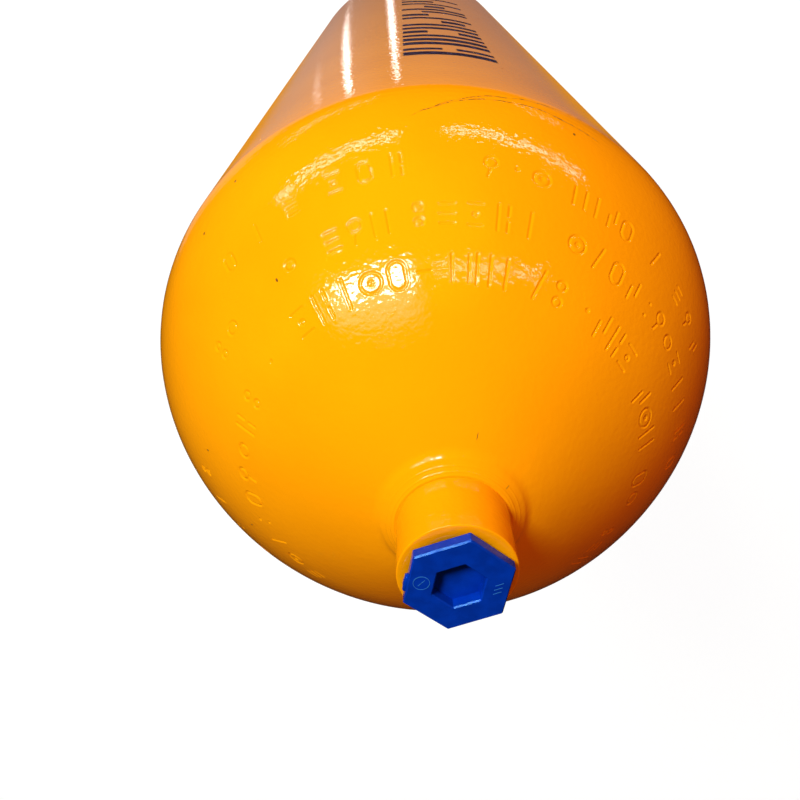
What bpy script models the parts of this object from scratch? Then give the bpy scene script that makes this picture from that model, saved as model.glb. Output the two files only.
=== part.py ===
"""Seamless steel gas cylinder standing neck up, with the plastic plug that closes its neck.

Metres. +Z runs up the cylinder's axis and the origin is the centre of the ring that it stands on.
The pieces are the hollow cylinder, a loose sealing washer and the plug that is screwed into the
neck. Every outline is a list of (radius, height) points, turned round the axis.
"""
import math

import bmesh
import bpy
from mathutils import Vector

# Cylinder, outside
BODY_RADIUS = 0.1395
NECK_FACE_Z = 1.000
SHOULDER_DROP = 0.1557      # from the neck's face down to the top of the straight wall
SHOULDER_HEIGHT = 0.130     # height that the dome would reach on the axis
SHOULDER_POWER = 1.52       # exponent of the dome's superellipse; 2 would be an ellipse
NECK_RADIUS = 0.02215
NECK_LENGTH = 0.0282        # turned part of the neck
NECK_STEP = 0.00105         # ledge left where the turning stops
NECK_CHAMFER = 0.0006
ROOT_RADIUS = 0.0295        # where the dome starts to sweep up into the neck
HEEL_RADIUS = 0.0265
FOOT_WIDTH = 0.006          # flat ring that the cylinder stands on
FOOT_CURVE = 0.016
BASE_RISE = 0.034           # height of the hollow under the base

# Cylinder, inside
WALL = 0.0075
SHOULDER_WALL = 0.014       # the metal gathers towards the neck when the dome is spun
BASE_THICKNESS = 0.015
FOOT_THICKNESS = 0.009
TROUGH_RADIUS = 0.014       # inside corner between the wall and the raised base

# Neck thread, 30 mm across with a pitch of 2 mm, right-handed
PITCH = 0.002
THREAD_RADIUS = 0.015
THREAD_DEPTH = 0.0010825
THREAD_LENGTH = 0.026
THREAD_MOUTH = 0.0004       # radial widening at the neck's mouth
THREAD_CREST = 0.25         # share of a pitch along the nut's crest, which is the screw's root
THREAD_ROOT = 0.125
THREAD_FADE = 0.0015        # length over which a thread runs out to a plain surface
THREAD_PLAY = 0.0004        # radial gap between the plug's thread and the neck's
SPARE_TURNS = 2             # turns laid out past each end of a thread, to be clipped to it

# Plug
HEAD_CORNER_RADIUS = 0.0210
HEAD_UNDERSIDE = 0.0016     # height above the neck's face
HEAD_THICKNESS = 0.0052
HEAD_CHAMFER = 0.0004
SOCKET_CORNER_RADIUS = 0.0101
SOCKET_DEPTH = 0.024
SHANK_LENGTH = 0.0235       # below the neck's face
SHANK_PLAIN = 0.0020        # unthreaded below the neck's face
SHANK_CHAMFER = 0.0012
HEX_ANGLE = math.radians(14.7)
LUG_ANGLE = HEX_ANGLE - math.radians(30)
LUG_SHIFT = 0.0026          # from the middle of its flat
LUG_LENGTH = 0.0062
LUG_DEPTH = 0.0013
LUG_HEIGHT = 0.0034
LUG_BEVEL = 0.0005

# Washer
WASHER_INNER_RADIUS = 0.0156
WASHER_OUTER_RADIUS = 0.0168
WASHER_GAP = 0.0003
WASHER_CHAMFER = 0.0002

# Facets round the axis
FINE = 72
COARSE = 24

SLIVER = 0.00005            # thread points nearer than this to a thread's end are put on it

# Colours are linear red, green, blue
AMBER_PAINT = (0.92, 0.31, 0.003)
BLUE_PLASTIC = (0.003, 0.045, 0.42)
PALE_BLUE_PLASTIC = (0.03, 0.16, 0.50)

SHOULDER_Z = NECK_FACE_Z - SHOULDER_DROP
NECK_ROOT_Z = NECK_FACE_Z - NECK_LENGTH
INNER_RADIUS = BODY_RADIUS - WALL
BORE_RADIUS = THREAD_RADIUS - THREAD_DEPTH


def clear_scene():
    for item in list(bpy.data.objects):
        bpy.data.objects.remove(item, do_unlink=True)


def make_material(name, colour, roughness, metallic):
    material = bpy.data.materials.new(name)
    material.use_nodes = True
    shader = material.node_tree.nodes["Principled BSDF"]
    shader.inputs["Base Color"].default_value = (*colour, 1.0)
    shader.inputs["Roughness"].default_value = roughness
    shader.inputs["Metallic"].default_value = metallic
    return material


# Outlines, as Vectors of (radius, height)

def arc(centre, radius, start_degrees, end_degrees, steps):
    """Points along a circle; 0 degrees points away from the axis and 90 points up."""
    points = []
    for step in range(steps + 1):
        angle = math.radians(start_degrees + (end_degrees - start_degrees) * step / steps)
        points.append(Vector((centre[0] + radius * math.cos(angle), centre[1] + radius * math.sin(angle))))
    return points


def dome_height(radius, base_radius, rise):
    share = (radius / base_radius) ** SHOULDER_POWER
    return SHOULDER_Z + rise * (1 - share) ** (1 / SHOULDER_POWER)


def dome(base_radius, rise, top_radius, steps):
    """Superellipse from the straight wall up to top_radius, with even steps of its own angle."""
    last = math.acos((top_radius / base_radius) ** (SHOULDER_POWER / 2))
    points = []
    for step in range(steps + 1):
        radius = base_radius * math.cos(last * step / steps) ** (2 / SHOULDER_POWER)
        points.append(Vector((radius, dome_height(radius, base_radius, rise))))
    return points


def root_fillet(steps):
    """Arc that leaves the dome along its tangent and ends on the lip of the neck's step."""
    reach = 0.0001
    start = Vector((ROOT_RADIUS, dome_height(ROOT_RADIUS, BODY_RADIUS, SHOULDER_HEIGHT)))
    ahead = Vector((ROOT_RADIUS - reach, dome_height(ROOT_RADIUS - reach, BODY_RADIUS, SHOULDER_HEIGHT)))
    tangent = (ahead - start).normalized()
    normal = Vector((tangent.y, -tangent.x))
    lip = Vector((NECK_RADIUS + NECK_STEP, NECK_ROOT_Z))
    chord = lip - start
    radius = chord.length_squared / (2 * chord.dot(normal))
    centre = start + radius * normal
    first = math.degrees(math.atan2(start.y - centre.y, start.x - centre.x))
    last = math.degrees(math.atan2(lip.y - centre.y, lip.x - centre.x))
    if last > first:
        last -= 360
    return arc(centre, radius, first, last, steps)[1:]


def raised_base(rise, foot_radius, foot_z, foot_curve, steps):
    """A cap that rises over the axis and blends at its rim into an arc of foot_curve.

    The points run from near the axis out to (foot_radius, foot_z), where the arc is level.
    """
    slope = 2 * math.degrees(math.atan2(rise, foot_radius))
    reach = foot_radius / math.sin(math.radians(slope))
    cap_radius = reach - foot_curve
    cap = arc((0, foot_z + rise - cap_radius), cap_radius, 90, 90 - slope, steps)
    foot = arc((foot_radius, foot_z + foot_curve), foot_curve, 270 - slope, 270, steps)
    return cap[1:] + foot[1:]


# Rings of points round the axis and the faces between them

def make_ring(bm, radius, height, count, turn=0.0):
    ring = []
    for index in range(count):
        angle = turn + math.tau * index / count
        ring.append(bm.verts.new((radius * math.cos(angle), radius * math.sin(angle), height)))
    return ring


def make_hexagon_ring(bm, corner_radius, height):
    """COARSE points along a hexagon, at the same angles as a round ring turned by HEX_ANGLE."""
    inner_radius = corner_radius * math.cos(math.pi / 6)
    ring = []
    for index in range(COARSE):
        angle = math.tau * index / COARSE
        from_flat = angle % (math.pi / 3) - math.pi / 6
        radius = inner_radius / math.cos(from_flat)
        direction = angle + HEX_ANGLE
        ring.append(bm.verts.new((radius * math.cos(direction), radius * math.sin(direction), height)))
    return ring


def join_rings(bm, first, second):
    count = len(first)
    for index in range(count):
        following = (index + 1) % count
        bm.faces.new((first[index], first[following], second[following], second[index]))


def join_coarse_to_fine(bm, coarse, fine):
    """A flat annulus whose outer ring has several points for each point of its inner ring."""
    ratio = len(fine) // len(coarse)
    for index in range(len(coarse)):
        outer = [fine[(index * ratio + step) % len(fine)] for step in range(ratio + 1)]
        bm.faces.new(outer + [coarse[(index + 1) % len(coarse)], coarse[index]])


def close_ring(bm, ring, height):
    apex = bm.verts.new((0, 0, height))
    for index in range(len(ring)):
        bm.faces.new((apex, ring[index], ring[(index + 1) % len(ring)]))


def turn_outline(bm, points, count, turn=0.0):
    """Turn the points round the axis; returns the first ring and the last."""
    rings = [make_ring(bm, point.x, point.y, count, turn) for point in points]
    for lower, upper in zip(rings, rings[1:]):
        join_rings(bm, lower, upper)
    return rings[0], rings[-1]


def thread_profile(root_radius, crest_radius, crest_share):
    """Four (share of a pitch, radius) points of one turn: the crest's two edges, then the root's."""
    root_share = THREAD_CREST + THREAD_ROOT - crest_share
    flank = (1 - crest_share - root_share) / 2
    return [
        (0, crest_radius),
        (crest_share, crest_radius),
        (crest_share + flank, root_radius),
        (crest_share + flank + root_share, root_radius),
    ]


def join_by_thread(bm, low_ring, high_ring, profile, start, turn=0.0):
    """Helical surface between two round rings, which its ridges run out to."""
    low_z = low_ring[0].co.z
    high_z = high_ring[0].co.z
    low_radius = low_ring[0].co.xy.length
    high_radius = high_ring[0].co.xy.length
    count = len(low_ring)
    turns = math.ceil((high_z - low_z) / PITCH) + 2 * SPARE_TURNS
    first_z = start + PITCH * (math.floor((low_z - start) / PITCH) - SPARE_TURNS)

    def point(row, column):
        share, radius = profile[row % len(profile)]
        angle = turn + math.tau * column / count
        height = first_z + PITCH * (row // len(profile) + share + angle / math.tau)
        if height < low_z + SLIVER:
            return low_ring[column]
        if height > high_z - SLIVER:
            return high_ring[column]
        low_fade = min(1, (height - low_z) / THREAD_FADE)
        high_fade = min(1, (high_z - height) / THREAD_FADE)
        radius = low_radius + (radius - low_radius) * low_fade
        radius = high_radius + (radius - high_radius) * high_fade
        return bm.verts.new((radius * math.cos(angle), radius * math.sin(angle), height))

    rows = turns * len(profile)
    columns = [[point(row, column) for row in range(rows)] for column in range(count)]
    columns.append(columns[0][len(profile):] + [high_ring[0]] * len(profile))
    for left, right in zip(columns, columns[1:]):
        for row in range(rows - 1):
            corners = list(dict.fromkeys((left[row], right[row], right[row + 1], left[row + 1])))
            if len(corners) > 2:
                bm.faces.new(corners)


def make_object(name, bm, material):
    bmesh.ops.recalc_face_normals(bm, faces=bm.faces)
    mesh = bpy.data.meshes.new(name)
    bm.to_mesh(mesh)
    bm.free()
    mesh.materials.append(material)
    mesh.shade_smooth()
    mesh.set_sharp_from_angle(angle=math.radians(30))
    item = bpy.data.objects.new(name, mesh)
    bpy.context.scene.collection.objects.link(item)
    return item


# The pieces

def outer_outline():
    """From beside the axis under the base, round the foot and up the outside to the neck's face."""
    flat_outer = BODY_RADIUS - HEEL_RADIUS
    points = raised_base(BASE_RISE, flat_outer - FOOT_WIDTH, 0, FOOT_CURVE, 4)
    points += arc((flat_outer, HEEL_RADIUS), HEEL_RADIUS, 270, 360, 6)
    points += dome(BODY_RADIUS, SHOULDER_HEIGHT, ROOT_RADIUS, 13)
    points += root_fillet(4)
    points.append(Vector((NECK_RADIUS, NECK_ROOT_Z)))
    points.append(Vector((NECK_RADIUS, NECK_FACE_Z - NECK_CHAMFER)))
    points.append(Vector((NECK_RADIUS - NECK_CHAMFER, NECK_FACE_Z)))
    return points


def inner_outline():
    """From the bottom of the neck's bore down the inside to beside the axis on the base."""
    rise = SHOULDER_HEIGHT - SHOULDER_WALL
    trough_centre = INNER_RADIUS - TROUGH_RADIUS
    inside_rise = BASE_RISE + BASE_THICKNESS - FOOT_THICKNESS
    wall_and_dome = dome(INNER_RADIUS, rise, BORE_RADIUS, 9)
    points = list(reversed(wall_and_dome))
    points += arc((trough_centre, FOOT_THICKNESS + TROUGH_RADIUS), TROUGH_RADIUS, 360, 270, 4)
    points += list(reversed(raised_base(inside_rise, trough_centre, FOOT_THICKNESS, TROUGH_RADIUS, 4)))[1:]
    return points


def make_cylinder(material):
    bm = bmesh.new()
    underside, neck_edge = turn_outline(bm, outer_outline(), FINE)
    close_ring(bm, underside, BASE_RISE)
    mouth = make_ring(bm, THREAD_RADIUS + THREAD_MOUTH, NECK_FACE_Z, COARSE)
    join_coarse_to_fine(bm, mouth, neck_edge)
    thread_end = make_ring(bm, BORE_RADIUS, NECK_FACE_Z - THREAD_LENGTH, COARSE)
    profile = thread_profile(THREAD_RADIUS, BORE_RADIUS, THREAD_CREST)
    join_by_thread(bm, thread_end, mouth, profile, NECK_FACE_Z)
    bore_end, inner_floor = turn_outline(bm, inner_outline(), COARSE)
    join_rings(bm, bore_end, thread_end)
    close_ring(bm, inner_floor, BASE_RISE + BASE_THICKNESS)
    return make_object("cylinder_shell", bm, material)


def make_washer(material):
    bm = bmesh.new()
    low = NECK_FACE_Z + WASHER_GAP
    high = NECK_FACE_Z + HEAD_UNDERSIDE - WASHER_GAP
    inner = WASHER_INNER_RADIUS
    outer = WASHER_OUTER_RADIUS
    edge = WASHER_CHAMFER
    outline = [
        (inner, low), (outer - edge, low), (outer, low + edge),
        (outer, high - edge), (outer - edge, high), (inner, high),
    ]
    first, last = turn_outline(bm, [Vector(point) for point in outline], 2 * COARSE)
    join_rings(bm, last, first)
    return make_object("sealing_washer", bm, material)


def make_lug():
    """Gate remnant on one flat of the head, a guide that is joined to the plug."""
    head_inner_radius = HEAD_CORNER_RADIUS * math.cos(math.pi / 6)
    bm = bmesh.new()
    bmesh.ops.create_cube(bm, size=1)
    bmesh.ops.scale(bm, vec=(2 * LUG_DEPTH, LUG_LENGTH, LUG_HEIGHT), verts=bm.verts)
    bmesh.ops.bevel(bm, geom=bm.edges[:], offset=LUG_BEVEL, segments=2, profile=0.5, affect="EDGES")
    mesh = bpy.data.meshes.new("lug_guide")
    bm.to_mesh(mesh)
    bm.free()
    lug = bpy.data.objects.new("lug_guide", mesh)
    bpy.context.scene.collection.objects.link(lug)
    lug.location = (
        head_inner_radius * math.cos(LUG_ANGLE) - LUG_SHIFT * math.sin(LUG_ANGLE),
        head_inner_radius * math.sin(LUG_ANGLE) + LUG_SHIFT * math.cos(LUG_ANGLE),
        NECK_FACE_Z + HEAD_UNDERSIDE + HEAD_THICKNESS / 2,
    )
    lug.rotation_euler.z = LUG_ANGLE
    lug.hide_render = True
    lug.display_type = "WIRE"
    return lug


def make_plug(material):
    bm = bmesh.new()
    crest = THREAD_RADIUS - THREAD_PLAY
    root = BORE_RADIUS - THREAD_PLAY
    underside = NECK_FACE_Z + HEAD_UNDERSIDE
    top = underside + HEAD_THICKNESS
    tip = NECK_FACE_Z - SHANK_LENGTH
    tip_edge = make_ring(bm, root - SHANK_CHAMFER, tip, COARSE, HEX_ANGLE)
    thread_low = make_ring(bm, root, tip + SHANK_CHAMFER, COARSE, HEX_ANGLE)
    thread_high = make_ring(bm, root, NECK_FACE_Z - SHANK_PLAIN, COARSE, HEX_ANGLE)
    shank_top = make_ring(bm, root, underside, COARSE, HEX_ANGLE)
    close_ring(bm, tip_edge, tip)
    join_rings(bm, tip_edge, thread_low)
    # The screw's ridge sits in the middle of the neck's groove, half a pitch from the neck's crest.
    ridge_start = NECK_FACE_Z + PITCH * (THREAD_CREST + (1 - THREAD_CREST - THREAD_ROOT) / 2)
    profile = thread_profile(root, crest, THREAD_ROOT)
    join_by_thread(bm, thread_low, thread_high, profile, ridge_start, HEX_ANGLE)
    join_rings(bm, thread_high, shank_top)
    hexagons = [
        (HEAD_CORNER_RADIUS - HEAD_CHAMFER, underside),
        (HEAD_CORNER_RADIUS, underside + HEAD_CHAMFER),
        (HEAD_CORNER_RADIUS, top - HEAD_CHAMFER),
        (HEAD_CORNER_RADIUS - HEAD_CHAMFER, top),
        (SOCKET_CORNER_RADIUS, top),
        (SOCKET_CORNER_RADIUS, top - SOCKET_DEPTH),
    ]
    last = shank_top
    for corner_radius, height in hexagons:
        ring = make_hexagon_ring(bm, corner_radius, height)
        join_rings(bm, last, ring)
        last = ring
    close_ring(bm, last, top - SOCKET_DEPTH)
    plug = make_object("transport_plug", bm, material)
    union = plug.modifiers.new("lug", "BOOLEAN")
    union.operation = "UNION"
    union.object = make_lug()
    return plug


def main():
    clear_scene()
    make_cylinder(make_material("amber_paint", AMBER_PAINT, 0.25, 0.0))
    make_washer(make_material("pale_blue_plastic", PALE_BLUE_PLASTIC, 0.5, 0.0))
    make_plug(make_material("blue_plastic", BLUE_PLASTIC, 0.35, 0.0))


main()
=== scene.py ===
"""Looks of the gas cylinder: fine painted shell, loose washer and moulded transport plug.

Metres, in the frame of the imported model: +Z up along the cylinder's axis, origin under its base.
Outlines are lists of (radius, height) points that are turned round the axis.
"""
import math

import bmesh
import bpy
import numpy as np
from mathutils import Matrix, Vector, noise


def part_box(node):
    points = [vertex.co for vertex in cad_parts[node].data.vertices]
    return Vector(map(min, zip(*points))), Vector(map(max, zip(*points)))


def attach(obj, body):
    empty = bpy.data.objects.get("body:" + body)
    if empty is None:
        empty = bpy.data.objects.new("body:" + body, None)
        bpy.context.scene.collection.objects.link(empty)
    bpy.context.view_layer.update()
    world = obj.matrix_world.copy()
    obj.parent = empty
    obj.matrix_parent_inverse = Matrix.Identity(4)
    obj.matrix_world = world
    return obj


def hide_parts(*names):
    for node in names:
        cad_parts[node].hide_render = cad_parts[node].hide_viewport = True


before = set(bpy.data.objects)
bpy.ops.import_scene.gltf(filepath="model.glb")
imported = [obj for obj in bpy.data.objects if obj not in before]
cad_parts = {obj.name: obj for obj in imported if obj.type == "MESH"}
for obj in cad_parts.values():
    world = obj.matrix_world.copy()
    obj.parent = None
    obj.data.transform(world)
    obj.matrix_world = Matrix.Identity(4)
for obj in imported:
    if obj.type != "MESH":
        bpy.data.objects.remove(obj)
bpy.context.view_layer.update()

# Places read from the frame
_, SHELL_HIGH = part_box("cylinder_shell")
WASHER_LOW, WASHER_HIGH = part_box("sealing_washer")
PLUG_LOW, PLUG_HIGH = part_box("transport_plug")
BODY_RADIUS = SHELL_HIGH.x
NECK_FACE_Z = SHELL_HIGH.z
PLUG_TOP = PLUG_HIGH.z
PLUG_TIP = PLUG_LOW.z

# Cylinder's outline, as in the CAD model but for the neck root, which is drawn more closely here
SHOULDER_Z = NECK_FACE_Z - 0.1557
SHOULDER_HEIGHT = 0.130
SHOULDER_POWER = 1.52
NECK_RADIUS = 0.02215
NECK_ROOT_Z = NECK_FACE_Z - 0.0282
NECK_STEP = 0.00105
NECK_EDGE = 0.0006
ROOT_RADIUS = 0.0319
ROOT_CURVE = 0.0090
ROOT_TILT = 49.5  # angles in degrees between the surface's normal and the axis
CREST_CURVE = 0.0050
CREST_TILT = 38
LIP_CURVE = 0.00025
ROOT_RIDGES = [(0.40, 0.00009, 0.05), (0.78, 0.00015, 0.05)]  # (share of the way up, height, width)
HEEL_RADIUS = 0.0265
FOOT_WIDTH = 0.006
FOOT_CURVE = 0.016
BASE_RISE = 0.034
INNER_RADIUS = BODY_RADIUS - 0.0075
INNER_SHOULDER_HEIGHT = 0.116
INNER_BASE_HEIGHT = 0.049
FOOT_THICKNESS = 0.009
TROUGH_RADIUS = 0.014
FINE_BAND_RADIUS = 0.062  # the shoulder has finer facets outside this radius
FINE_BAND_STEP = 0.002

# Slight unevenness of the outside
ON_CURVE = 0.03  # how far from 1 the level of a point on the shoulder may be
SLACK = 0.0002  # how far off a radius a point still counts as on it
WAVE_DEPTH = 0.00007
WAVE_SCALE = 22
WAVE_STRETCH = 0.35  # the waves are longer along the axis
RIPPLE_DEPTH = 0.00003
RIPPLE_SCALE = 70
WAVE_FADE = 0.02  # the waves rise to their full depth over this width
RING_PITCH = 0.0038
RING_DEPTH = 0.00006
RING_WOBBLES = [(0.0006, 3, 0.7), (0.0004, 7, 0.0)]  # (reach, number of waves round the body, phase)
RING_RISE = 0.002  # heights above the straight wall between which the rings come and go
RING_FADE_LOW = 0.010
RING_FADE_HIGH = 0.026
NECK_TOOL_DEPTH = 0.00002
NECK_TOOL_TURN = 2.4  # phase of the tool rings from one step to the next

# Neck thread
PITCH = 0.002
THREAD_RADIUS = 0.015
BORE_RADIUS = THREAD_RADIUS - 0.0010825
THREAD_LENGTH = 0.026
THREAD_MOUTH = 0.0004
THREAD_CREST = 0.25
THREAD_ROOT = 0.125
THREAD_FADE = 0.0015
THREAD_PLAY = 0.0004
SLIVER = 0.00004  # closer than this to a ring, a thread's point joins the ring

# Washer
WASHER_INNER_RADIUS = 0.0156
WASHER_EDGE = 0.32  # radius of its rounded edges over its thickness

# Plug
HEX_ANGLE = math.radians(14.7)
HEAD_CORNER_RADIUS = 0.0210
HEAD_UNDERSIDE = NECK_FACE_Z + 0.0016
HEAD_EDGE = 0.00055
EDGE_SLOPE = 1.327  # fall of a chamfer for its width
HEAD_CORNER_ROUND = 0.0007
HEAD_FACE = PLUG_TOP - 0.00012  # the moulded marks stand on it
SOCKET_CORNER_RADIUS = 0.0101
SOCKET_CORNER_ROUND = 0.0004
SOCKET_DEPTH = 0.024
SOCKET_EDGE = 0.00045
SOCKET_FLOOR_ROUND = 0.0006
CORE_PLAY = 0.0006  # between the head's hollow core and the shank round it
CORE_FLOOR = 0.002
LUG_SHIFT = 0.0026
LUG_LENGTH = 0.0074
LUG_DEPTH = 0.00125
LUG_HEIGHT = 0.0035
LUG_ROUNDNESS = 0.60
LUG_ROUGHNESS = 0.08
LUG_NOISE_SCALE = 4
LUG_NOISE_PLACE = Vector((5.1, 0, 0))
LUG_CUTS = 7
SHANK_PLAIN = 0.0020
SHANK_CHAMFER = 0.0012
SHANK_OVERLAP = 0.0005  # how far the shank reaches into the head
LEAST_ROUND = 0.00003
FLAT_SHARE = math.cos(math.pi / 6)  # distance to a hexagon's flat over the distance to its corner

# Moulded marks on the plug's head: a ring, and bars as (heading, distance from the axis, turn, length)
MOULD_LINE = 0.00026
MOULD_RISE = 0.0001
MOULD_SINK = 0.0002
MOULD_EDGE = 0.00006
MOULD_RING_PLACE = (-14.6, 0.0134)
MOULD_RING_RADIUS = 0.0029
MOULD_BARS = [
    (-14.6, 0.0134, 40, 0.0034),
    (177, 0.0142, 15, 0.0032),
    (169, 0.0139, 15, 0.0032),
    (161, 0.0139, 15, 0.0032),
]

# Facets round the axis; FINE is a multiple of MIDDLE, and MIDDLE of COARSE
FINE = 288
MIDDLE = 96
COARSE = 32
MOULD_RING_FACETS = 48
HEX_CORNER_STEPS = 3
HEX_POINTS = 6 * (HEX_CORNER_STEPS + 1)

# Steps along the outlines
BASE_STEPS = 9
HEEL_STEPS = 14
WALL_STEPS = 24
SHOULDER_STEPS = 78
UPPER_SHOULDER_STEPS = 14
ROOT_STEPS = 9
ROOT_LINE_STEPS = 36
NECK_STEPS = 12
EDGE_STEPS = 4
INNER_SHOULDER_STEPS = 16
INNER_CURVE_STEPS = 6

# Stamped marks on the shoulder
MARK_STROKE = 0.0012
MARK_DEPTH = 0.00042
MARK_FLOOR = 0.08  # these four are shares of the stroke's width
MARK_EDGE = 0.62
MARK_RIM = 0.80
MARK_RIM_WIDTH = 0.22
MARK_RIM_HEIGHT = 0.13  # share of the depth
MARK_CUTS = 4
MARK_CELL = 0.0026  # about the size of a facet before it is cut


# Outlines

def arc(centre, radius, start_degrees, end_degrees, steps):
    """Points along a circle; 0 degrees points away from the axis and 90 points up."""
    points = []
    for step in range(steps + 1):
        angle = math.radians(start_degrees + (end_degrees - start_degrees) * step / steps)
        points.append(Vector((centre[0] + radius * math.cos(angle), centre[1] + radius * math.sin(angle))))
    return points


def dome_point(radius, base_radius, rise):
    share = (radius / base_radius) ** SHOULDER_POWER
    return Vector((radius, SHOULDER_Z + rise * (1 - share) ** (1 / SHOULDER_POWER)))


def dome_angle(radius, base_radius):
    return math.acos((radius / base_radius) ** (SHOULDER_POWER / 2))


def dome(base_radius, rise, low_radius, high_radius, steps):
    """Superellipse between two radii, with even steps of its own angle."""
    first = dome_angle(low_radius, base_radius)
    last = dome_angle(high_radius, base_radius)
    points = []
    for step in range(steps + 1):
        angle = first + (last - first) * step / steps
        radius = base_radius * math.cos(angle) ** (2 / SHOULDER_POWER)
        points.append(dome_point(radius, base_radius, rise))
    return points


def normal_tilt(radius):
    """Angle in degrees between the shoulder's normal and the axis."""
    height = dome_point(radius, BODY_RADIUS, SHOULDER_HEIGHT).y - SHOULDER_Z
    outward = (radius / BODY_RADIUS) ** (SHOULDER_POWER - 1) / BODY_RADIUS
    upward = (height / SHOULDER_HEIGHT) ** (SHOULDER_POWER - 1) / SHOULDER_HEIGHT
    return math.degrees(math.atan2(outward, upward))


def tilted(degrees):
    """Unit vector of (radius, height) at this angle from the axis."""
    return Vector((math.sin(math.radians(degrees)), math.cos(math.radians(degrees))))


def line_with_ridges(start, end, steps, ridges):
    """A straight line with small rounded ridges: (share of its length, height, width as a share)."""
    along = end - start
    outward = Vector((along.y, -along.x)).normalized()
    points = []
    for step in range(1, steps + 1):
        share = step / steps
        rise = sum(height * math.exp(-((share - place) / width) ** 2) for place, height, width in ridges)
        points.append(start + along * share + outward * rise)
    return points


def neck_root():
    """Sweeps up from the shoulder to the rounded lip of the neck's step, with turned rings on the way."""
    start = dome_point(ROOT_RADIUS, BODY_RADIUS, SHOULDER_HEIGHT)
    tilt = normal_tilt(ROOT_RADIUS)
    points = arc(start + ROOT_CURVE * tilted(tilt), ROOT_CURVE, 270 - tilt, 270 - ROOT_TILT, ROOT_STEPS)[1:]
    centre = points[-1] - CREST_CURVE * tilted(ROOT_TILT)
    points += arc(centre, CREST_CURVE, 90 - ROOT_TILT, 90 - CREST_TILT, EDGE_STEPS)[1:]
    centre = (NECK_RADIUS + NECK_STEP - LIP_CURVE, NECK_ROOT_Z - LIP_CURVE)
    lip = arc(centre, LIP_CURVE, 90 - CREST_TILT, 90, EDGE_STEPS)
    points += line_with_ridges(points[-1], lip[0], ROOT_LINE_STEPS, ROOT_RIDGES)
    return points + lip[1:]


def raised_base(rise, foot_radius, foot_z, foot_curve, steps):
    """A cap that rises over the axis and blends at its rim into an arc of foot_curve."""
    slope = 2 * math.degrees(math.atan2(rise, foot_radius))
    reach = foot_radius / math.sin(math.radians(slope))
    cap_radius = reach - foot_curve
    cap = arc((0, foot_z + rise - cap_radius), cap_radius, 90, 90 - slope, steps)
    foot = arc((foot_radius, foot_z + foot_curve), foot_curve, 270 - slope, 270, steps)
    return cap[1:] + foot[1:]


# Rings round the axis and the faces between them

def ring_of(bm, flat_points, height):
    return [bm.verts.new((point[0], point[1], height)) for point in flat_points]


def make_ring(bm, radius, height, count, turn=0.0):
    angles = [turn + math.tau * index / count for index in range(count)]
    return ring_of(bm, [(radius * math.cos(angle), radius * math.sin(angle)) for angle in angles], height)


def join_rings(bm, first, second):
    count = len(first)
    for index in range(count):
        following = (index + 1) % count
        bm.faces.new((first[index], first[following], second[following], second[index]))


def join_coarse_to_fine(bm, coarse, fine):
    """Faces between a ring and one with several points for each of its own."""
    ratio = len(fine) // len(coarse)
    middle = ratio // 2
    for index, corner in enumerate(coarse):
        following = coarse[(index + 1) % len(coarse)]
        outer = [fine[(index * ratio + step) % len(fine)] for step in range(ratio + 1)]
        for step in range(ratio):
            apex = corner if step <= middle else following
            bm.faces.new((outer[step], outer[step + 1], apex))
        bm.faces.new((outer[middle + 1], following, corner))


def close_ring(bm, ring, height):
    apex = bm.verts.new((0, 0, height))
    for index in range(len(ring)):
        bm.faces.new((apex, ring[index], ring[(index + 1) % len(ring)]))


def turn_outline(bm, points, count):
    """Turns the points round the axis; returns the first ring and the last."""
    rings = [make_ring(bm, point.x, point.y, count) for point in points]
    for lower, upper in zip(rings, rings[1:]):
        join_rings(bm, lower, upper)
    return rings[0], rings[-1]


def thread_profile(root_radius, crest_radius, crest_share):
    """Four (share of a pitch, radius) points of one turn: the crest's two edges, then the root's."""
    root_share = THREAD_CREST + THREAD_ROOT - crest_share
    flank = (1 - crest_share - root_share) / 2
    return [
        (0, crest_radius),
        (crest_share, crest_radius),
        (crest_share + flank, root_radius),
        (crest_share + flank + root_share, root_radius),
    ]


def join_by_thread(bm, low_ring, high_ring, profile, start):
    """Helical surface between two round rings, which its ridges run out to."""
    low_z = low_ring[0].co.z
    high_z = high_ring[0].co.z
    low_radius = low_ring[0].co.xy.length
    high_radius = high_ring[0].co.xy.length
    count = len(low_ring)
    turns = math.ceil((high_z - low_z) / PITCH) + 4
    first_z = start + PITCH * (math.floor((low_z - start) / PITCH) - 2)

    def point(row, column):
        share, radius = profile[row % len(profile)]
        angle = math.tau * column / count
        height = first_z + PITCH * (row // len(profile) + share + angle / math.tau)
        if height < low_z + SLIVER:
            return low_ring[column]
        if height > high_z - SLIVER:
            return high_ring[column]
        low_fade = min(1, (height - low_z) / THREAD_FADE)
        high_fade = min(1, (high_z - height) / THREAD_FADE)
        radius = low_radius + (radius - low_radius) * low_fade
        radius = high_radius + (radius - high_radius) * high_fade
        return bm.verts.new((radius * math.cos(angle), radius * math.sin(angle), height))

    rows = turns * len(profile)
    columns = [[point(row, column) for row in range(rows)] for column in range(count)]
    columns.append(columns[0][len(profile):] + [high_ring[0]] * len(profile))
    for left, right in zip(columns, columns[1:]):
        for row in range(rows - 1):
            corners = list(dict.fromkeys((left[row], right[row], right[row + 1], left[row + 1])))
            if len(corners) > 2:
                bm.faces.new(corners)


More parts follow.
